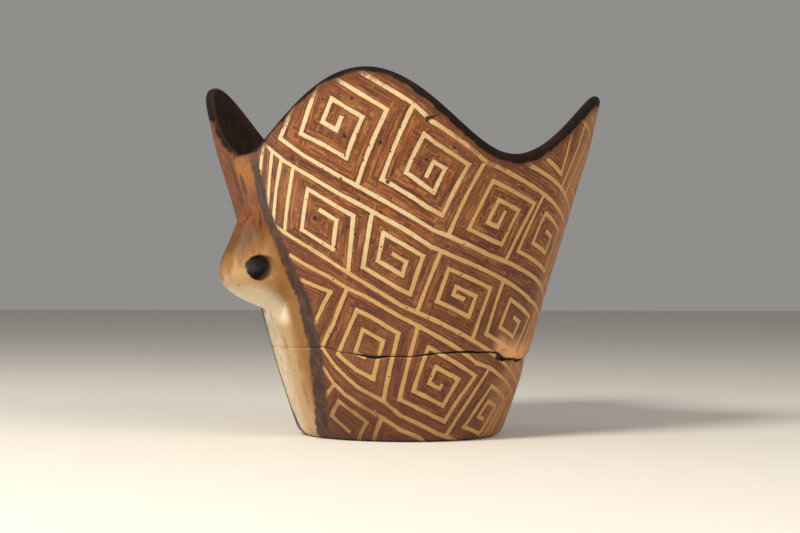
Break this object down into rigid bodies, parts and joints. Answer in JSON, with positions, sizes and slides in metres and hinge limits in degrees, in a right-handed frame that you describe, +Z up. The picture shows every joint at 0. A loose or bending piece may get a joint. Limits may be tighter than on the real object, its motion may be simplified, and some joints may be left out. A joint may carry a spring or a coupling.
{
  "type": "pottery vessel",
  "caption": "Flaring pottery cup with a waved rim, a pierced side lug and a level mended crack, painted with light rectangular spirals on brown.",
  "frame": {"origin": "centre of the flat underside", "axes": "+Z is up, and the lug points along -X with its hole level along Y"},
  "size_m": [0.1586, 0.1552, 0.146],
  "materials": {
    "fired_clay": "burnished, painted brown with cream lines, worn"
  },
  "bodies": {
    "root": {"vessel": "fired_clay"}
  },
  "joints": []
}
